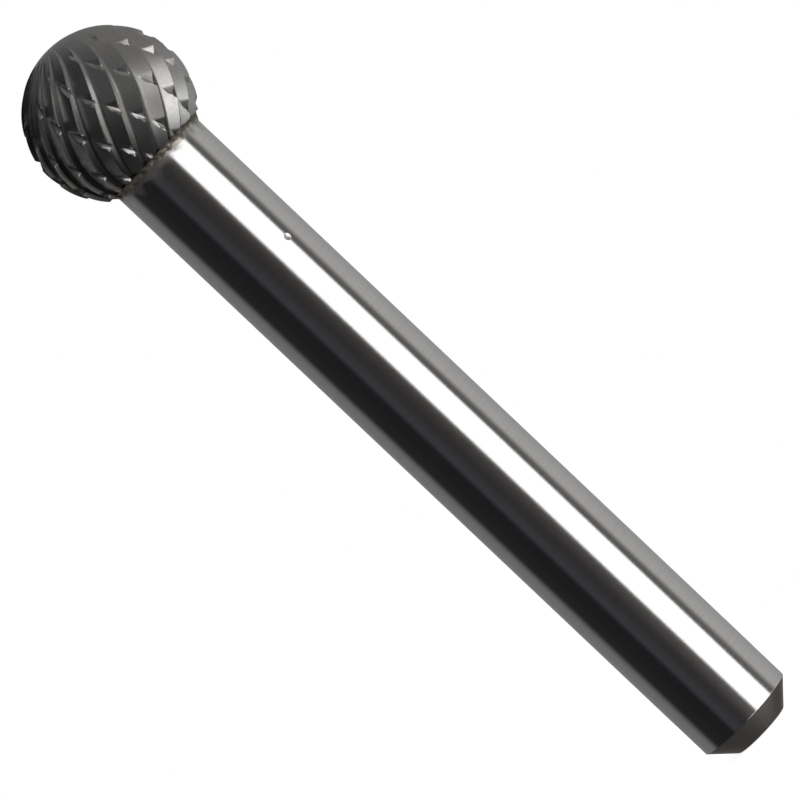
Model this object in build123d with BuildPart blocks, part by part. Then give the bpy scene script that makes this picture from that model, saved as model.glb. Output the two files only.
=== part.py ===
from build123d import *
from math import acos, cos, degrees, radians, sin
import os

# Ball-nosed, double-cut carbide burr, standing on the flat end of its shank.
# Millimetres and degrees. The origin is the centre of that flat end, and +Z runs
# along the tool's axis to the nose. Seen from the shank the tool turns clockwise,
# so every rake face looks towards growing longitude. Longitudes are counted from
# +X, and a polar angle is 0 at the nose and 90 at the ball's equator.

# Shank: ground steel rod
shank_diameter = 6.0
shank_length = 45.0  # flat end to the back of the head, with the braze
end_chamfer = 1.25  # at 45 degrees

# Cutting head: tungsten carbide ball with a flat back
ball_diameter = 9.5  # over the tooth crests
head_length = 8.0  # flat back to nose

# Braze joint: a thin disc between the two flat faces, squeezed out as a fillet
braze_thickness = 0.12
braze_fillet_height = 0.40  # down the shank from the head
braze_fillet_width = 0.26  # out over the back of the head
braze_fillet_hollow = 0.05  # how far the fillet's face sinks below a straight cone

# Main flutes, right-hand
flute_count = 21
flute_depth = 0.37  # crest to gullet, square to the axis
flute_twist = 0.553  # degrees of longitude lost for each degree of polar angle
crest_longitude = -65.3  # of one crest at the equator
rake_share = 0.12  # part of the pitch taken by the steep rake face
nose_pad_angle = 9.0  # polar angle of the smooth pad at the nose
flute_fade_angle = 24.0  # polar angle over which the flutes reach their depth
flute_stations = 11  # level sections that the head is lofted through

# Chip-breaker notches across the teeth, left-hand
notch_count = 12
notch_depth = 0.28  # below the crests
notch_steep_width = 0.26  # of the wall that looks to the nose
notch_long_width = 0.36  # of the wall that looks to the shank
notch_twist = 0.57  # degrees of longitude gained for each degree of polar angle
notch_longitude = -54.9  # of one notch at the equator
notch_bend_angle = 78.0  # polar angle above which the notches bend towards growing longitude
notch_bend = 0.006  # degrees of longitude gained for each squared degree above that
notch_start_angle = 40.0  # polar angle where the notches begin
notch_runout_angle = 6.0  # how far the cutter runs past the back of the head
notch_clearance = 0.35  # how far the cutter stands above the crests
notch_stations = 7  # sections that the cutter is lofted through

shank_radius = shank_diameter / 2
ball_radius = ball_diameter / 2
nose_height = shank_length + head_length
ball_centre = nose_height - ball_radius
back_angle = degrees(acos((shank_length - ball_centre) / ball_radius))
steel_end = shank_length - braze_thickness
pad_height = ball_centre + ball_radius * cos(radians(nose_pad_angle))
pad_radius = ball_radius * sin(radians(nose_pad_angle)) * cos(radians(180 / flute_count))


def on_ring(radius, longitude):
    """A point of a level section, from its distance to the axis and its longitude."""
    return (radius * cos(radians(longitude)), radius * sin(radians(longitude)))


def flute_depth_at(polar):
    """Depth of the flutes at a polar angle: none at the nose pad, easing in to full."""
    run = min(1.0, (polar - nose_pad_angle) / flute_fade_angle)
    return flute_depth * sin(radians(90 * run))


def tooth_ring(polar):
    """Corners of one level section: a crest on the ball and a gullet for every tooth."""
    crest_radius = ball_radius * sin(radians(polar))
    gullet_radius = crest_radius - flute_depth_at(polar)
    pitch = 360 / flute_count
    turn = crest_longitude - flute_twist * (polar - 90)
    corners = []
    for tooth in range(flute_count):
        corners.append(on_ring(crest_radius, turn + tooth * pitch))
        corners.append(on_ring(gullet_radius, turn + (tooth + rake_share) * pitch))
    return corners


def notch_plane(polar):
    """Plane square to a notch, on the ball: X to the nose side, Y outwards, Z along it."""
    above = max(0.0, notch_bend_angle - polar)
    longitude = notch_longitude + notch_twist * (polar - 90) + notch_bend * above**2
    lean = notch_twist - 2 * notch_bend * above
    outwards = Vector(*on_ring(sin(radians(polar)), longitude), cos(radians(polar)))
    to_shank = Vector(*on_ring(cos(radians(polar)), longitude), -sin(radians(polar)))
    around = Vector(*on_ring(1.0, longitude + 90), 0)
    along = to_shank + around * (lean * sin(radians(polar)))
    centre = Vector(0, 0, ball_centre) + outwards * ball_radius
    return Plane(origin=centre, x_dir=outwards.cross(along), z_dir=along)


with BuildPart() as shank:
    with BuildSketch(Plane.XZ):
        with BuildLine():
            Polyline(
                (0, 0),
                (shank_radius - end_chamfer, 0),
                (shank_radius, end_chamfer),
                (shank_radius, steel_end),
                (0, steel_end),
                close=True,
            )
        make_face()
    revolve(axis=Axis.Z)

with BuildPart() as braze_joint:
    fillet_foot = (shank_radius, shank_length - braze_fillet_height)
    fillet_rim = (shank_radius + braze_fillet_width, shank_length)
    with BuildSketch(Plane.XZ):
        with BuildLine():
            Polyline(fillet_foot, (shank_radius, steel_end), (0, steel_end), (0, shank_length), fillet_rim)
            SagittaArc(fillet_rim, fillet_foot, braze_fillet_hollow)
        make_face()
    revolve(axis=Axis.Z)

# One notch, as the solid that the grinding wheel sweeps. Its section is a V with a
# steep wall and a long one, carried on above the crests so that it cuts clean.
with BuildPart() as notch_cutter:
    notch_rise = 1 + notch_clearance / notch_depth
    for station in range(notch_stations):
        run = station / (notch_stations - 1)
        polar = notch_start_angle + run * (back_angle + notch_runout_angle - notch_start_angle)
        with BuildSketch(notch_plane(polar)):
            with BuildLine():
                Polyline(
                    (0, -notch_depth),
                    (notch_long_width * notch_rise, notch_clearance),
                    (-notch_steep_width * notch_rise, notch_clearance),
                    close=True,
                )
            make_face()
    loft()

# The fluted ball is lofted through level rings of saw teeth, each turned a little
# further along the helix, and gets a smooth pad at the nose where the flutes run out.
with BuildPart() as cutting_head:
    for station in range(flute_stations):
        run = station / (flute_stations - 1)
        polar = nose_pad_angle + run * (back_angle - nose_pad_angle)
        with BuildSketch(Plane.XY.offset(ball_centre + ball_radius * cos(radians(polar)))):
            with BuildLine():
                Polyline(*tooth_ring(polar), close=True)
            make_face()
    loft()
    with BuildSketch(Plane.XZ):
        with BuildLine():
            Polyline((pad_radius, pad_height), (0, pad_height), (0, nose_height))
            TangentArc((0, nose_height), (pad_radius, pad_height), tangent=(1, 0))
        make_face()
    revolve(axis=Axis.Z)
    with PolarLocations(0, notch_count):
        add(notch_cutter.part, mode=Mode.SUBTRACT)

shank.part.label = "shank"
braze_joint.part.label = "braze_joint"
cutting_head.part.label = "cutting_head"

os.makedirs("parts", exist_ok=True)
export_step(shank.part, "parts/shank.step")
export_step(braze_joint.part, "parts/braze_joint.step")
export_step(cutting_head.part, "parts/cutting_head.step")
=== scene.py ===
"""Ball-nosed carbide burr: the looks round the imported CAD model, an add-on that is run as a script."""

import math

import bpy
import numpy as np
from bpy.props import FloatProperty, FloatVectorProperty, IntProperty, PointerProperty
from mathutils import Matrix, Vector


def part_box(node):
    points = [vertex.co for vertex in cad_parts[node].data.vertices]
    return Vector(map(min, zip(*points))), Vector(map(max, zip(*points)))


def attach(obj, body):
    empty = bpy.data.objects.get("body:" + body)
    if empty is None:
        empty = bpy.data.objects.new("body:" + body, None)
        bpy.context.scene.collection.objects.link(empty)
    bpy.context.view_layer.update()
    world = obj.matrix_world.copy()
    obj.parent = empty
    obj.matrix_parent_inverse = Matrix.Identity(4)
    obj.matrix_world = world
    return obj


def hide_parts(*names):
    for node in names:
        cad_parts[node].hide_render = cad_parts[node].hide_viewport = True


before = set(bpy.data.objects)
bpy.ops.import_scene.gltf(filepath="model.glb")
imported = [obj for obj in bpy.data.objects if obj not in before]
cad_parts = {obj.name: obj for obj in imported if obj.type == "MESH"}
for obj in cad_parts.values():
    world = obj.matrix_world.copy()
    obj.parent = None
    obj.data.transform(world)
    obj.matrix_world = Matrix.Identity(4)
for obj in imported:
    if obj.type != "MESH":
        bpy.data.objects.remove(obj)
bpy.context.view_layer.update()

bl_info = {
    "name": "Carbide Burr",
    "version": (1, 0, 0),
    "blender": (4, 5, 0),
    "location": "View3D > Sidebar > Burr",
    "description": "Builds the visible surfaces of a ball-nosed carbide burr and its stage",
    "category": "Object",
}

MM = 0.001
SHANK_LOW, SHANK_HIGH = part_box("shank")
_, BRAZE_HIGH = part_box("braze_joint")
HEAD_LOW, HEAD_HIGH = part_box("cutting_head")
SHANK_RADIUS = (SHANK_HIGH.x - SHANK_LOW.x) / 2
NECK_HEIGHT = HEAD_LOW.z
NOSE_HEIGHT = HEAD_HIGH.z


def linear(code):
    """Linear RGBA of an sRGB hex colour such as #8a8886."""
    parts = [int(code[i : i + 2], 16) / 255 for i in (1, 3, 5)]
    return tuple(c / 12.92 if c <= 0.04045 else ((c + 0.055) / 1.055) ** 2.4 for c in parts) + (1.0,)


# ---------------------------------------------------------------- settings


class HeadSettings(bpy.types.PropertyGroup):
    """Sizes of the cutting head's teeth and the colour of its carbide."""

    ball_diameter: FloatProperty(
        name="Ball diameter",
        description="Over the tooth crests",
        default=9.5 * MM,
        unit="LENGTH",
        precision=5,
    )
    flute_count: IntProperty(name="Flutes", description="Main right-hand flutes", default=21, min=3)
    flute_depth: FloatProperty(
        name="Flute depth",
        description="From crest to gullet",
        default=0.37 * MM,
        unit="LENGTH",
        precision=5,
    )
    flute_twist: FloatProperty(
        name="Flute twist", description="Longitude lost for each unit of polar angle", default=0.553
    )
    crest_longitude: FloatProperty(
        name="Crest longitude",
        description="Of one crest at the equator, from +X",
        default=math.radians(-65.3),
        subtype="ANGLE",
    )
    notch_count: IntProperty(
        name="Notches", description="Left-hand chip-breaker notches", default=12, min=1
    )
    notch_depth: FloatProperty(
        name="Notch depth",
        description="Below the crests",
        default=0.30 * MM,
        unit="LENGTH",
        precision=5,
    )
    notch_twist: FloatProperty(
        name="Notch twist", description="Longitude gained for each unit of polar angle", default=0.57
    )
    notch_longitude: FloatProperty(
        name="Notch longitude",
        description="Of one notch at the equator, from +X",
        default=math.radians(-54.6),
        subtype="ANGLE",
    )
    colour: FloatVectorProperty(
        name="Carbide colour",
        description="Of clean ground carbide",
        default=linear("#acabaa"),
        size=4,
        subtype="COLOR",
    )


class ShankSettings(bpy.types.PropertyGroup):
    """Sizes of the shank's end and edges, and the colour of its steel."""

    end_chamfer: FloatProperty(
        name="End chamfer", description="At 45 degrees", default=1.25 * MM, unit="LENGTH", precision=5
    )
    edge_radius: FloatProperty(
        name="Edge radius", description="Of the broken edges", default=0.05 * MM, unit="LENGTH", precision=5
    )
    colour: FloatVectorProperty(
        name="Steel colour",
        description="Of the ground shank",
        default=linear("#c6c5c4"),
        size=4,
        subtype="COLOR",
    )


class BrazeSettings(bpy.types.PropertyGroup):
    """Sizes of the braze fillet at the neck, and the colour of its alloy."""

    fillet_height: FloatProperty(
        name="Fillet height", description="Down the shank", default=0.36 * MM, unit="LENGTH", precision=5
    )
    lump_height: FloatProperty(
        name="Lump height",
        description="Of the frozen ripples",
        default=0.035 * MM,
        unit="LENGTH",
        precision=5,
    )
    colour: FloatVectorProperty(
        name="Braze colour",
        description="Of the bare alloy",
        default=linear("#989084"),
        size=4,
        subtype="COLOR",
    )


class StageSettings(bpy.types.PropertyGroup):
    """Where the camera stands, and its lens."""

    camera_distance: FloatProperty(
        name="Camera distance", description="To the middle of the tool", default=0.392, unit="LENGTH"
    )
    camera_elevation: FloatProperty(
        name="Camera elevation", description="Above the horizon", default=math.radians(3.3), subtype="ANGLE"
    )
    camera_roll: FloatProperty(
        name="Camera roll",
        description="Clockwise about the view",
        default=math.radians(46.58),
        subtype="ANGLE",
    )
    lens: FloatProperty(name="Lens", description="Focal length in mm on a 36 mm sensor", default=328.5)


# ------------------------------------------------------------ mesh and nodes


def closed_surface(name, rings, start, end, slanted=False):
    """Object whose surface is a stack of closed rings: rows by columns by x, y, z, from the top down.

    Each ring is joined to the next by quads, or by triangles cut along the slant when slanted, and the
    first and the last are closed by fans to the points start and end.
    """
    rows, columns, _ = rings.shape
    here = np.arange(rows * columns).reshape(rows, columns)
    beside = np.roll(here, -1, axis=1)
    top, bottom, top_next, bottom_next = here[:-1], here[1:], beside[:-1], beside[1:]
    if slanted:
        upper = np.stack([top, bottom, top_next], axis=-1).reshape(-1, 3)
        lower = np.stack([top_next, bottom, bottom_next], axis=-1).reshape(-1, 3)
        sides = [upper, lower]
    else:
        sides = [np.stack([top, bottom, bottom_next, top_next], axis=-1).reshape(-1, 4)]
    first = np.full(columns, rows * columns)
    last = first + 1
    fans = [np.stack([first, here[0], beside[0]], axis=-1), np.stack([last, beside[-1], here[-1]], axis=-1)]
    mesh = bpy.data.meshes.new(name)
    points = np.vstack([rings.reshape(-1, 3), [start], [end]])
    faces = [face for group in sides + fans for face in group.tolist()]
    mesh.from_pydata(points.tolist(), [], faces)
    mesh.validate()
    piece = bpy.data.objects.new(name, mesh)
    bpy.context.scene.collection.objects.link(piece)
    return piece


def soft_least(one, other, blend):
    """Lesser of two heights, with the corner where they cross rounded while they differ by less than blend.

    There, the square of what their difference lacks of blend is taken off, so the slopes run on smoothly.
    """
    near = np.maximum(blend - np.abs(one - other), 0) / blend
    return np.minimum(one, other) - near**2 * blend / 4


def shade(piece, crease_degrees):
    """Shade a piece smooth, with creases where its faces meet at more than the given angle."""
    piece.data.shade_smooth()
    piece.data.set_sharp_from_angle(angle=math.radians(crease_degrees))


def add_node(tree, kind, inputs=None, **settings):
    """Add a node, set its properties, and set or link its inputs by name or number."""
    node = tree.nodes.new(kind)
    for name, value in settings.items():
        setattr(node, name, value)
    for socket, value in (inputs or {}).items():
        if isinstance(value, bpy.types.NodeSocket):
            tree.links.new(value, node.inputs[socket])
        else:
            node.inputs[socket].default_value = value
    return node


def seen_by_eye(tree):
    """Socket that is 1 for what the camera sees, directly or in metal or glass, and 0 for the rest.

    It is the sum of the camera, glossy and transmission shares of a ray, held to 1.
    """
    path = add_node(tree, "ShaderNodeLightPath")
    direct = add_node(
        tree,
        "ShaderNodeMath",
        {0: path.outputs["Is Camera Ray"], 1: path.outputs["Is Glossy Ray"]},
        operation="ADD",
    )
    either = add_node(
        tree,
        "ShaderNodeMath",
        {0: direct.outputs[0], 1: path.outputs["Is Transmission Ray"]},
        operation="ADD",
        use_clamp=True,
    )
    return either.outputs[0]


def new_material(name):
    """Empty node material and its tree."""
    material = bpy.data.materials.new(name)
    material.use_nodes = True
    material.node_tree.nodes.clear()
    return material, material.node_tree


# --------------------------------------------------------------- materials


def ground_steel(bare, end_chamfer):
    """Centreless-ground tool steel: a bright mirror whose lights are drawn out along the shank."""
    material, tree = new_material("ground_tool_steel")
    place = add_node(tree, "ShaderNodeTexCoord")
    apart = add_node(tree, "ShaderNodeSeparateXYZ", {0: place.outputs["Object"]})
    height = apart.outputs["Z"]
    # grinding lines round the shank, drawn about 0.08 mm apart because the real ones are too fine to show
    stretched = add_node(
        tree,
        "ShaderNodeMapping",
        {"Vector": place.outputs["Object"], "Scale": (0.25 / MM, 0.25 / MM, 12 / MM)},
    )
    lines = add_node(
        tree,
        "ShaderNodeTexNoise",
        {"Vector": stretched.outputs[0], "Scale": 1.0, "Detail": 2.0, "Roughness": 0.6},
    )
    # browned by the heat of brazing for about a millimetre below the head, with an edge ragged by patches
    # about 0.7 mm across
    ragged = add_node(
        tree, "ShaderNodeTexNoise", {"Vector": place.outputs["Object"], "Scale": 1.5 / MM, "Detail": 3.0}
    )
    shift = add_node(
        tree, "ShaderNodeMath", {0: ragged.outputs["Fac"], 1: 1.6 * MM, 2: height}, operation="MULTIPLY_ADD"
    )
    heat = add_node(
        tree,
        "ShaderNodeMapRange",
        {"Value": shift.outputs[0], "From Min": NECK_HEIGHT - 0.2 * MM, "From Max": NECK_HEIGHT + 0.8 * MM},
        interpolation_type="SMOOTHSTEP",
    )
    # the chamfer is turned, so it is duller; it is also a little darker than the ground side, which is
    # painted shade for its downward face
    end = add_node(
        tree,
        "ShaderNodeMapRange",
        {"Value": height, "From Min": end_chamfer + 0.02 * MM, "From Max": end_chamfer - 0.05 * MM},
        interpolation_type="SMOOTHSTEP",
    )
    clean = add_node(
        tree,
        "ShaderNodeMix",
        {"Factor": lines.outputs["Fac"], "A": bare, "B": linear("#b4b3b2")},
        data_type="RGBA",
    )
    browned = add_node(
        tree,
        "ShaderNodeMix",
        {"Factor": heat.outputs[0], "A": clean.outputs["Result"], "B": linear("#6a655f")},
        data_type="RGBA",
    )
    # painted shade: the chamfer's colour is a little darker than the ground side
    turned = add_node(
        tree,
        "ShaderNodeMix",
        {"Factor": end.outputs[0], "A": browned.outputs["Result"], "B": linear("#c0bab4")},
        data_type="RGBA",
    )
    dull = add_node(
        tree, "ShaderNodeMath", {0: heat.outputs[0], 1: 0.25, 2: 0.17}, operation="MULTIPLY_ADD"
    )
    duller = add_node(
        tree, "ShaderNodeMath", {0: end.outputs[0], 1: 0.15, 2: dull.outputs[0]}, operation="MULTIPLY_ADD"
    )
    # the brown is a film of oxide and flux, which is no metal
    bright = add_node(
        tree, "ShaderNodeMath", {0: heat.outputs[0], 1: -0.3, 2: 1.0}, operation="MULTIPLY_ADD"
    )
    # one small nick, about 0.4 mm across
    bearing = math.radians(35.5)
    nick_height = 36.9 * MM
    nick_place = (math.sin(bearing) * SHANK_RADIUS, -math.cos(bearing) * SHANK_RADIUS, nick_height)
    apart_from = add_node(
        tree, "ShaderNodeVectorMath", {0: place.outputs["Object"], 1: nick_place}, operation="DISTANCE"
    )
    nick = add_node(
        tree,
        "ShaderNodeMapRange",
        {"Value": apart_from.outputs["Value"], "From Min": 0.22 * MM, "From Max": 0.04 * MM},
        interpolation_type="SMOOTHSTEP",
    )
    ground = add_node(
        tree, "ShaderNodeBump", {"Height": lines.outputs["Fac"], "Strength": 0.08, "Distance": 0.01 * MM}
    )
    bump = add_node(
        tree,
        "ShaderNodeBump",
        {"Height": nick.outputs[0], "Strength": 1.0, "Distance": 0.05 * MM, "Normal": ground.outputs[0]},
        invert=True,
    )
    round_axis = add_node(tree, "ShaderNodeTangent", direction_type="RADIAL", axis="Z")
    surface = add_node(
        tree,
        "ShaderNodeBsdfPrincipled",
        {
            "Base Color": turned.outputs["Result"],
            "Metallic": bright.outputs[0],
            "Roughness": duller.outputs[0],
            "Anisotropic": 0.4,
            "Anisotropic Rotation": 0.25,
            "Tangent": round_axis.outputs[0],
            "Normal": bump.outputs[0],
        },
    )
    add_node(tree, "ShaderNodeOutputMaterial", {"Surface": surface.outputs[0]})
    return material


def ground_carbide(clean):
    """Ground tungsten carbide: a dark, fine-grained metal, satin from the wheel, with painted shade in its
    gullets.
    """
    material, tree = new_material("ground_tungsten_carbide")
    place = add_node(tree, "ShaderNodeTexCoord")
    uv = add_node(tree, "ShaderNodeUVMap", uv_map="flutes")
    # wheel marks along the flutes, 30 to a tooth, which is 0.05 mm apart at the widest
    wheel = add_node(tree, "ShaderNodeMapping", {"Vector": uv.outputs[0], "Scale": (30.0, 1.2, 1.0)})
    lines = add_node(
        tree,
        "ShaderNodeTexNoise",
        {"Vector": wheel.outputs[0], "Scale": 1.0, "Detail": 2.0, "Roughness": 0.6},
    )
    # grain, drawn about 0.14 mm across because the real one, of a few microns, is too fine to show
    grain = add_node(
        tree, "ShaderNodeTexNoise", {"Vector": place.outputs["Object"], "Scale": 7 / MM, "Detail": 3.0}
    )
    # painted shade lies in the gullet, about a sixth of the way across a flute, and more of it towards the
    # neck
    across = add_node(tree, "ShaderNodeSeparateXYZ", {0: uv.outputs[0]})
    part = add_node(tree, "ShaderNodeMath", {0: across.outputs["X"]}, operation="FRACT")
    beside = add_node(tree, "ShaderNodeMath", {0: part.outputs[0], 1: 0.16}, operation="SUBTRACT")
    away = add_node(tree, "ShaderNodeMath", {0: beside.outputs[0]}, operation="ABSOLUTE")
    apart = add_node(tree, "ShaderNodeSeparateXYZ", {0: place.outputs["Object"]})
    # painted shade: none near the nose, growing to its fullest towards the neck
    painted_shade_toward_neck = add_node(
        tree,
        "ShaderNodeMapRange",
        {
            "Value": apart.outputs["Z"],
            "From Min": NOSE_HEIGHT - 2.0 * MM,
            "From Max": NOSE_HEIGHT - 7.2 * MM,
            "To Max": 1.75,
        },
    )
    # painted shade: strongest along the gullet, fading out across the flute
    low = add_node(
        tree,
        "ShaderNodeMapRange",
        {
            "Value": away.outputs[0],
            "From Min": 0.20,
            "From Max": 0.08,
            "To Max": painted_shade_toward_neck.outputs[0],
        },
    )
    colour = add_node(
        tree,
        "ShaderNodeMix",
        {"Factor": grain.outputs["Fac"], "A": clean, "B": linear("#8c8b8a")},
        data_type="RGBA",
    )
    # the gullets darkened towards #5e5c59 as painted shade
    colour_with_painted_shade = add_node(
        tree,
        "ShaderNodeMix",
        {"Factor": low.outputs[0], "A": colour.outputs["Result"], "B": linear("#5e5c59")},
        data_type="RGBA",
    )
    rough = add_node(
        tree, "ShaderNodeMath", {0: grain.outputs["Fac"], 1: 0.08, 2: 0.34}, operation="MULTIPLY_ADD"
    )
    mixed = add_node(
        tree,
        "ShaderNodeMath",
        {0: grain.outputs["Fac"], 1: 0.5, 2: lines.outputs["Fac"]},
        operation="MULTIPLY_ADD",
    )
    bump = add_node(
        tree, "ShaderNodeBump", {"Height": mixed.outputs[0], "Strength": 0.12, "Distance": 0.01 * MM}
    )
    surface = add_node(
        tree,
        "ShaderNodeBsdfPrincipled",
        {
            "Base Color": colour_with_painted_shade.outputs["Result"],
            "Metallic": 1.0,
            "Roughness": rough.outputs[0],
            "Normal": bump.outputs[0],
        },
    )
    add_node(tree, "ShaderNodeOutputMaterial", {"Surface": surface.outputs[0]})
    return material


def silver_braze(bare):
    """Silver brazing alloy under flux residue: a lumpy brown crust, with paler flecks where it is bare."""
    material, tree = new_material("silver_braze_alloy")
    place = add_node(tree, "ShaderNodeTexCoord")
    # flecks about 0.3 mm apart
    patches = add_node(
        tree, "ShaderNodeTexNoise", {"Vector": place.outputs["Object"], "Scale": 3.2 / MM, "Detail": 4.0}
    )
    flecks = add_node(
        tree, "ShaderNodeMapRange", {"Value": patches.outputs["Fac"], "From Min": 0.36, "From Max": 0.64}
    )
    colour = add_node(
        tree,
        "ShaderNodeMix",
        {"Factor": flecks.outputs[0], "A": linear("#5c554d"), "B": bare},
        data_type="RGBA",
    )
    rough = add_node(
        tree, "ShaderNodeMath", {0: flecks.outputs[0], 1: -0.25, 2: 0.55}, operation="MULTIPLY_ADD"
    )
    bump = add_node(
        tree, "ShaderNodeBump", {"Height": patches.outputs["Fac"], "Strength": 0.25, "Distance": 0.03 * MM}
    )
    surface = add_node(
        tree,
        "ShaderNodeBsdfPrincipled",
        {
            "Base Color": colour.outputs["Result"],
            "Metallic": 0.8,
            "Roughness": rough.outputs[0],
            "Normal": bump.outputs[0],
        },
    )
    add_node(tree, "ShaderNodeOutputMaterial", {"Surface": surface.outputs[0]})
    return material


# ------------------------------------------------------------------ pieces


def dress(piece, material, node):
    """Give a piece its material, let it ride on the tool and stand for its CAD node."""
    piece.data.materials.append(material)
    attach(piece, "root")
    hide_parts(node)


def revolved(profile, columns):
    """Rings of a profile of (radius, height) points carried round the Z axis."""
    turn = np.linspace(0, 2 * np.pi, columns, endpoint=False)
    radius, height = profile[:, 0, None], profile[:, 1, None]
    return np.stack([radius * np.cos(turn), radius * np.sin(turn), height + 0 * turn], axis=-1)


def rounded(corner, before, after, radius, steps=5):
    """Points of an arc of the given radius that rounds a corner between two straight runs of a profile."""
    corner, before, after = (np.array(p, float) for p in (corner, before, after))
    back = (before - corner) / np.linalg.norm(before - corner)
    ahead = (after - corner) / np.linalg.norm(after - corner)
    half = math.acos(float(back @ ahead)) / 2
    reach = radius / math.tan(half)
    t = np.linspace(0, 1, steps)[:, None]
    start, end = corner + back * reach, corner + ahead * reach
    # a quadratic curve through both tangent points stays within a few microns of so small an arc
    return (1 - t) ** 2 * start + 2 * t * (1 - t) * corner + t**2 * end


class BURR_OT_make_head(bpy.types.Operator):
    """Make the fluted ball head"""

    bl_idname = "burr.make_head"
    bl_label = "Cutting head"

    def execute(self, context):
        """A ball on rings of points, each moved in, level, by the deeper cut of flute and notch there."""
        settings = context.scene.burr_head
        tooth_cells = 20
        columns = settings.flute_count * tooth_cells
        cell = 360 / columns
        ball = settings.ball_diameter / 2
        centre = NOSE_HEIGHT - ball
        back = math.degrees(math.acos((NECK_HEIGHT - centre) / ball))
        # rows are spaced so that flutes and notches both run along edges of the mesh
        twist = settings.flute_twist + settings.notch_twist
        row_step = cell / twist
        crest = math.degrees(settings.crest_longitude)
        notch = math.degrees(settings.notch_longitude)
        first_row = 90 + (crest - notch) / twist
        count_up = math.floor((first_row - 0.5) / row_step)
        count_down = math.floor((back - first_row - 0.3) / row_step)
        index = np.arange(-count_up, count_down + 1)
        polar = np.append(first_row + index * row_step, back)
        index = np.append(index, index[-1] + 1)
        along = np.arange(columns)
        flute_phase = (along + index[:, None]) / tooth_cells
        # the foot of each rake wall, one cell from the crest, is drawn back to stand almost under it
        undercut = 0.55
        around = (along - undercut * ((along + index[:, None]) % tooth_cells == 1)) * cell
        longitude = notch + around + settings.notch_twist * (polar[:, None] - 90)
        # towards the nose the notches bend back from the lines of the mesh, by the square of the way
        bend_start, bend_rate = 78, 0.006
        bend = bend_rate * np.maximum(bend_start - polar, 0)[:, None] ** 2
        notch_phase = (around - bend) * settings.notch_count / 360
        girth = np.sin(np.radians(polar))[:, None]
        depth = self.flute(flute_phase, girth) * settings.flute_depth * self.fade(polar)[:, None]
        notch_cut = self.notch(notch_phase, settings) * self.notch_fade(polar)[:, None]
        # the deeper cut of the two counts, with the corner between them broken
        broken = 0.05 * MM
        cut = -soft_least(-depth, -notch_cut, np.clip(notch_cut, 1e-9, broken))
        radius = ball * girth - cut
        height = centre + ball * np.cos(np.radians(polar))[:, None] + 0 * cut
        turn = np.radians(longitude)
        rings = np.stack([radius * np.cos(turn), radius * np.sin(turn), height], axis=-1)
        piece = closed_surface(
            "carbide_head", rings, (0, 0, NOSE_HEIGHT), (0, 0, NECK_HEIGHT), slanted=True
        )
        shade(piece, 42)
        self.lay_uv(piece, index, polar, columns, tooth_cells, ball)
        dress(piece, ground_carbide(settings.colour), "cutting_head")
        return {"FINISHED"}

    @staticmethod
    def flute(phase, girth):
        """Depth of a flute over its pitch, from 0 at the crest to about 1 in the gullet.

        It is the least of three runs with the corners between them rounded: the steep rake face, the gullet
        floor that levels out, and the back that climbs to the next crest. The back is flat across, so it
        lies below a steady climb by a parabola that shrinks with the girth of the ball.
        """
        part = np.mod(phase, 1.0)
        rake_part, back_part = 0.065, 0.76
        floor = soft_least(0.55 + 2.6 * part, 0.80 + 0.7 * part, 0.22)
        climb = (1 - part) / back_part
        back = soft_least(floor, climb + 0.33 * girth * climb * (1 - climb), 0.12)
        return np.maximum(np.minimum(part / rake_part, back), 0)

    @staticmethod
    def fade(polar):
        """Share of the full flute depth: from none at the nose pad to 1, as a quarter of a sine wave."""
        pad_angle, fade_angle = 9, 24
        return np.sin(np.pi / 2 * np.clip((polar - pad_angle) / fade_angle, 0, 1))

    @staticmethod
    def notch(phase, settings):
        """Depth of a notch over its pitch: a hollow wall that looks to the nose and a long flat one behind.

        The hollow wall climbs slowly at first and then as a high power of the way from the root, so that
        its foot is round. The walls' widths are in degrees of longitude.
        """
        pitch = 360 / settings.notch_count
        away = (np.mod(phase + 0.5, 1.0) - 0.5) * pitch
        hollow_wall = 3.7
        long_wall = 5.0
        climb = np.clip(-away / hollow_wall, 0, 1)
        share = 1 - np.where(away < 0, 0.25 * climb + 0.75 * climb**6, away / long_wall)
        return np.maximum(share, 0) * settings.notch_depth

    @staticmethod
    def notch_fade(polar):
        """Share of the full notch depth: it grows steadily from none to 1 as the notches leave the nose."""
        start_angle, fade_angle = 34, 12
        return np.clip((polar - start_angle) / fade_angle, 0, 1)

    @staticmethod
    def lay_uv(piece, index, polar, columns, tooth_cells, ball):
        """UV map that follows the flutes: U counts teeth across them, V is millimetres from the nose."""
        mesh = piece.data
        corners = np.zeros(len(mesh.loops), int)
        mesh.loops.foreach_get("vertex_index", corners)
        rows = len(index)
        row = np.minimum(corners // columns, rows - 1)
        column = np.where(corners < rows * columns, corners % columns, 0)
        # a face that closes the ring has its far corners one whole turn on
        starts = np.zeros(len(mesh.polygons), int)
        sizes = np.zeros(len(mesh.polygons), int)
        mesh.polygons.foreach_get("loop_start", starts)
        mesh.polygons.foreach_get("loop_total", sizes)
        lowest = np.repeat(np.minimum.reduceat(column, starts), sizes)
        highest = np.repeat(np.maximum.reduceat(column, starts), sizes)
        beyond = (highest - lowest > columns / 2) & (column < columns / 2)
        column = np.where(beyond, column + columns, column)
        across = (column + index[row]) / tooth_cells
        along = np.radians(polar[row]) * ball / MM
        layer = mesh.uv_layers.new(name="flutes")
        layer.data.foreach_set("uv", np.stack([across, along], axis=-1).astype(np.float32).ravel())


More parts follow.
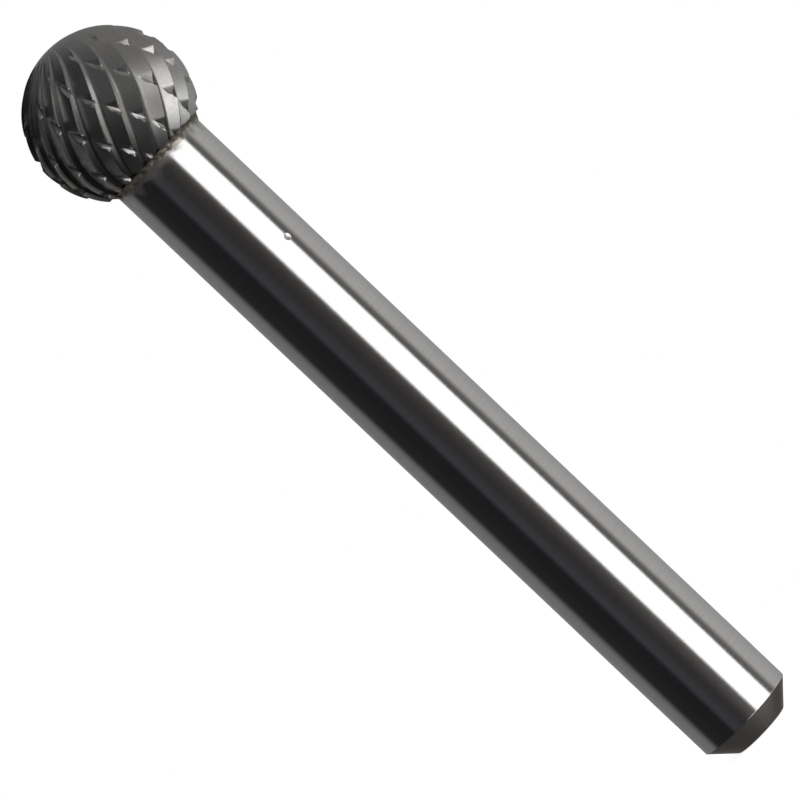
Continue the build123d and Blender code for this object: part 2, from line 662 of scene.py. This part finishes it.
class BURR_OT_make_shank(bpy.types.Operator):
    """Make the ground shank with its chamfered end"""

    bl_idname = "burr.make_shank"
    bl_label = "Shank"

    def execute(self, context):
        """A straight side with a chamfer below, both edges rounded, turned about the axis."""
        settings = context.scene.burr_shank
        radius, top = SHANK_RADIUS, SHANK_HIGH.z
        chamfer, edge = settings.end_chamfer, settings.edge_radius
        foot = (radius - chamfer, 0.0)
        shoulder = (radius, chamfer)
        upper = (radius, top)
        side = np.linspace(top, chamfer + 2 * edge, 90)[:, None]
        profile = np.vstack(
            [
                [(radius * 0.5, top)],
                np.hstack([radius + 0 * side, side]),
                rounded(shoulder, upper, foot, edge),
                rounded(foot, shoulder, (0, 0), edge),
                [(radius * 0.2, 0.0)],
            ]
        )
        piece = closed_surface("steel_shank", revolved(profile, 256), (0, 0, top), (0, 0, 0))
        shade(piece, 40)
        dress(piece, ground_steel(settings.colour, chamfer), "shank")
        return {"FINISHED"}


class BURR_OT_make_braze(bpy.types.Operator):
    """Make the braze fillet at the neck"""

    bl_idname = "burr.make_braze"
    bl_label = "Braze joint"

    def execute(self, context):
        """A hollow fillet turned about the axis, whose reach dies away as a power of the way down.

        Ripples swell it, most at half its height, and make its foot ragged.
        """
        settings = context.scene.burr_braze
        columns, rows = 360, 24
        top, bottom = NECK_HEIGHT, NECK_HEIGHT - settings.fillet_height
        reach = BRAZE_HIGH.x - SHANK_RADIUS
        run = np.linspace(0, 1, rows)[:, None]
        turn = np.linspace(0, 2 * np.pi, columns, endpoint=False)[None, :]
        swell = settings.lump_height * self.ripple(turn, run) * np.sin(np.pi * run)
        hollow = 1.6
        radius = SHANK_RADIUS + reach * (1 - run) ** hollow + swell
        foot_wave = 0.14 * MM
        foot = bottom - foot_wave * self.ripple(turn, 0 * run + 0.3)
        height = top + (foot - top) * run
        rings = np.stack([radius * np.cos(turn), radius * np.sin(turn), height + 0 * turn], axis=-1)
        # below the shank's skin the surface turns back up to the joint's underside
        inner = rings[-1:].copy()
        inner[..., :2] *= 0.98
        lid = inner.copy()
        lid[..., 2] = SHANK_HIGH.z
        piece = closed_surface(
            "braze_fillet", np.vstack([rings, inner, lid]), (0, 0, top), (0, 0, SHANK_HIGH.z)
        )
        shade(piece, 50)
        dress(piece, silver_braze(settings.colour), "braze_joint")
        return {"FINISHED"}

    @staticmethod
    def ripple(turn, run):
        """Frozen ripples: 1.6 times the mean of a few sine waves round the neck.

        Each wave has its count of crests, its start and its shift over the whole way down.
        """
        waves = ((5, 0.7, 1.1), (13, 2.1, -2.3), (23, 4.0, 3.1), (41, 5.2, -4.7))
        total = sum(np.sin(count * turn + start + drift * run) for count, start, drift in waves)
        return 1.6 * total / len(waves)


class BURR_OT_make_stage(bpy.types.Operator):
    """Make the floor, the studio, the lights and the camera"""

    bl_idname = "burr.make_stage"
    bl_label = "Stage"

    def execute(self, context):
        """Lay the plinth, put up the studio wall and the lights, then set the world and the camera."""
        self.floor()
        self.studio()
        self.lights()
        self.world(context.scene)
        self.camera(context.scene)
        return {"FINISHED"}

    @staticmethod
    def floor():
        """Small round white plinth, a hair below the tool, with its own light so that it reads as white."""
        radius, drop = 30 * MM, 0.02 * MM
        turn = np.linspace(0, 2 * np.pi, 128, endpoint=False)
        rim = np.stack([radius * np.cos(turn), radius * np.sin(turn), 0 * turn - drop], axis=-1)
        mesh = bpy.data.meshes.new("plinth")
        mesh.from_pydata(rim.tolist(), [], [list(range(len(rim)))])
        floor = bpy.data.objects.new("plinth", mesh)
        bpy.context.scene.collection.objects.link(floor)
        material, tree = new_material("white_card")
        seen = seen_by_eye(tree)
        lift = add_node(tree, "ShaderNodeMath", {0: seen, 1: 0.88}, operation="MULTIPLY")
        card = add_node(tree, "ShaderNodeBsdfDiffuse", {"Color": linear("#b0b0b0")})
        glow = add_node(tree, "ShaderNodeEmission", {"Strength": lift.outputs[0]})
        both = add_node(tree, "ShaderNodeAddShader", {0: card.outputs[0], 1: glow.outputs[0]})
        add_node(tree, "ShaderNodeOutputMaterial", {"Surface": both.outputs[0]})
        mesh.materials.append(material)
        floor.visible_glossy = False
        floor.visible_shadow = False

    @staticmethod
    def studio():
        """Round studio wall that only reflections see: dark in front, pale behind, bright low on the right.

        It is a ball of points by bearing and height. Its light is given at four heights, as stops of the
        bearing from the camera's side (-Y) towards +X, and runs smoothly from one to the next.
        """
        radius, columns, rows = 0.8, 360, 121
        bearing = np.linspace(-180, 180, columns, endpoint=False)
        lift = np.linspace(88, -88, rows)
        across, up = np.radians(bearing)[None, :], np.radians(lift)[:, None]
        rings = radius * np.stack(
            [np.cos(up) * np.sin(across), -np.cos(up) * np.cos(across), np.sin(up) + 0 * across], axis=-1
        )
        wall = closed_surface("studio_wall", rings, (0, 0, radius), (0, 0, -radius))
        wall.data.flip_normals()
        level_stops = (
            (-180, "#8c8c8c"),
            (-118, "#8c8c8c"),
            (-108, "#7c7c7c"),
            (-97, "#323030"),
            (-45, "#262528"),
            (-36, "#4c4e54"),
            (-26, "#48484b"),
            (-12, "#3c3a3a"),
            (20, "#3e3b39"),
            (74, "#504f4e"),
            (84, "#706f6e"),
            (95, "#d6d5d4"),
            (118, "#cccccc"),
            (160, "#a8a8a8"),
            (180, "#8c8c8c"),
        )
        high_stops = (
            (-180, "#9c9c9c"),
            (-130, "#303030"),
            (-80, "#2c2b2c"),
            (-55, "#626263"),
            (-20, "#6a6a6a"),
            (0, "#747474"),
            (30, "#7e7e7e"),
            (70, "#9c9b9a"),
            (100, "#a4a3a2"),
            (180, "#9c9c9c"),
        )
        low_stops = (
            (-180, "#464646"),
            (-120, "#222222"),
            (-30, "#202020"),
            (-6, "#2a2a2a"),
            (10, "#ffffff"),
            (60, "#ffffff"),
            (76, "#c8c8c8"),
            (96, "#9c9c9c"),
            (120, "#6c6c6c"),
            (140, "#363636"),
            (180, "#464646"),
        )
        under_stops = (
            (90, "#464646"),
            (96, "#989898"),
            (108, "#989898"),
            (114, "#404040"),
        )

        def band(stops):
            """Linear light by bearing between the stops."""
            at = [stop[0] for stop in stops]
            codes = np.array([linear(stop[1])[:3] for stop in stops])
            return np.stack([np.interp(bearing, at, codes[:, i]) for i in range(3)], axis=-1)[None]

        def ease(start, end):
            """0 at the start height and 1 at the end one, easing as a cubic between them."""
            part = np.clip((lift[:, None] - start) / (end - start), 0, 1)[..., None]
            return part * part * (3 - 2 * part)

        # the bright card stands deeper on its left
        foot = np.interp(bearing, (56, 72, 90), (-44, -32, -28))
        high, low, deep = ease(10, 30), ease(-10, -26), ease(foot, foot - 10)
        low_strength = 2.2
        light = (1 - high - low) * band(level_stops) + high * band(high_stops)
        light = light + low * low_strength * band(low_stops)
        light = (1 - deep) * light + deep * band(under_stops)
        light = np.vstack([light.reshape(-1, 3), light[0].mean(axis=0), light[-1].mean(axis=0)])
        opaque = np.ones((len(light), 1))
        marks = wall.data.attributes.new("card_light", "FLOAT_COLOR", "POINT")
        marks.data.foreach_set("color", np.hstack([light, opaque]).astype(np.float32).ravel())
        material, tree = new_material("studio_cards")
        cards = add_node(tree, "ShaderNodeAttribute", attribute_name="card_light")
        glow = add_node(tree, "ShaderNodeEmission", {"Color": cards.outputs["Color"], "Strength": 1.0})
        add_node(tree, "ShaderNodeOutputMaterial", {"Surface": glow.outputs[0]})
        wall.data.materials.append(material)
        wall.visible_camera = False
        wall.visible_diffuse = False
        wall.visible_shadow = False

    @staticmethod
    def lights():
        """A tall softbox to the front right, and a wide one overhead that only matte surfaces see."""
        # each lamp's energy is its brightness times pi and the area of its face
        reach, bearing, half_width = 0.5, math.radians(46.7), math.radians(23.9)
        box_brightness, top_brightness = 2.1, 0.8
        box = bpy.data.lights.new("softbox", "AREA")
        box.shape = "RECTANGLE"
        box.size = 2 * reach * math.tan(half_width)
        box.size_y = 0.46
        box.energy = box_brightness * math.pi * box.size * box.size_y
        lamp = bpy.data.objects.new("softbox", box)
        bpy.context.scene.collection.objects.link(lamp)
        lamp.location = Vector((math.sin(bearing) * reach, -math.cos(bearing) * reach, 0))
        lamp.rotation_euler = (-lamp.location).to_track_quat("-Z", "Y").to_euler()
        top = bpy.data.lights.new("top_light", "AREA")
        top.shape = "SQUARE"
        top.size = 0.6
        top.energy = top_brightness * math.pi * top.size**2
        overhead = bpy.data.objects.new("top_light", top)
        bpy.context.scene.collection.objects.link(overhead)
        overhead.location = Vector((0, 0, 0.625))
        overhead.visible_glossy = False

    @staticmethod
    def world(scene):
        """Even grey light for matte surfaces, and plain white for what camera, metal or glass see of it."""
        world = bpy.data.worlds.new("studio")
        scene.world = world
        world.use_nodes = True
        tree = world.node_tree
        tree.nodes.clear()
        tone = add_node(
            tree,
            "ShaderNodeMix",
            {"Factor": seen_by_eye(tree), "A": linear("#b4b4b4"), "B": linear("#ffffff")},
            data_type="RGBA",
        )
        sky = add_node(tree, "ShaderNodeBackground", {"Color": tone.outputs["Result"], "Strength": 1.0})
        add_node(tree, "ShaderNodeOutputWorld", {"Surface": sky.outputs[0]})

    @staticmethod
    def camera(scene):
        """Camera nearly level with the tool and rolled, so that the tool lies across the picture."""
        settings = scene.burr_stage
        data = bpy.data.cameras.new("camera")
        data.lens = settings.lens
        data.sensor_width = 36  # mm
        data.clip_start = 0.01
        camera = bpy.data.objects.new("camera", data)
        scene.collection.objects.link(camera)
        look_at = Vector((-0.47 * MM, 0, 26.4 * MM))
        up = settings.camera_elevation
        away = Vector((0, -math.cos(up), math.sin(up)))
        upright = (-away).to_track_quat("-Z", "Y").to_matrix().to_4x4()
        roll = Matrix.Rotation(-settings.camera_roll, 4, "Z")
        camera.matrix_world = Matrix.Translation(look_at + away * settings.camera_distance) @ upright @ roll
        scene.camera = camera


class BURR_PT_panel(bpy.types.Panel):
    """Buttons for the burr's pieces and its stage"""

    bl_idname = "BURR_PT_panel"
    bl_label = "Carbide burr"
    bl_space_type = "VIEW_3D"
    bl_region_type = "UI"
    bl_category = "Burr"

    def draw(self, context):
        for kind in OPERATORS:
            self.layout.operator(kind.bl_idname)


OPERATORS = (BURR_OT_make_head, BURR_OT_make_braze, BURR_OT_make_shank, BURR_OT_make_stage)
GROUPS = {
    "burr_head": HeadSettings,
    "burr_shank": ShankSettings,
    "burr_braze": BrazeSettings,
    "burr_stage": StageSettings,
}


def register():
    for name, group in GROUPS.items():
        bpy.utils.register_class(group)
        setattr(bpy.types.Scene, name, PointerProperty(type=group))
    for kind in OPERATORS + (BURR_PT_panel,):
        bpy.utils.register_class(kind)


def unregister():
    for kind in reversed(OPERATORS + (BURR_PT_panel,)):
        bpy.utils.unregister_class(kind)
    for name, group in GROUPS.items():
        delattr(bpy.types.Scene, name)
        bpy.utils.unregister_class(group)


def main():
    """Build every piece and the stage."""
    register()
    bpy.context.scene.view_settings.view_transform = "Standard"
    bpy.ops.burr.make_head()
    bpy.ops.burr.make_braze()
    bpy.ops.burr.make_shank()
    bpy.ops.burr.make_stage()


if __name__ == "__main__":
    main()
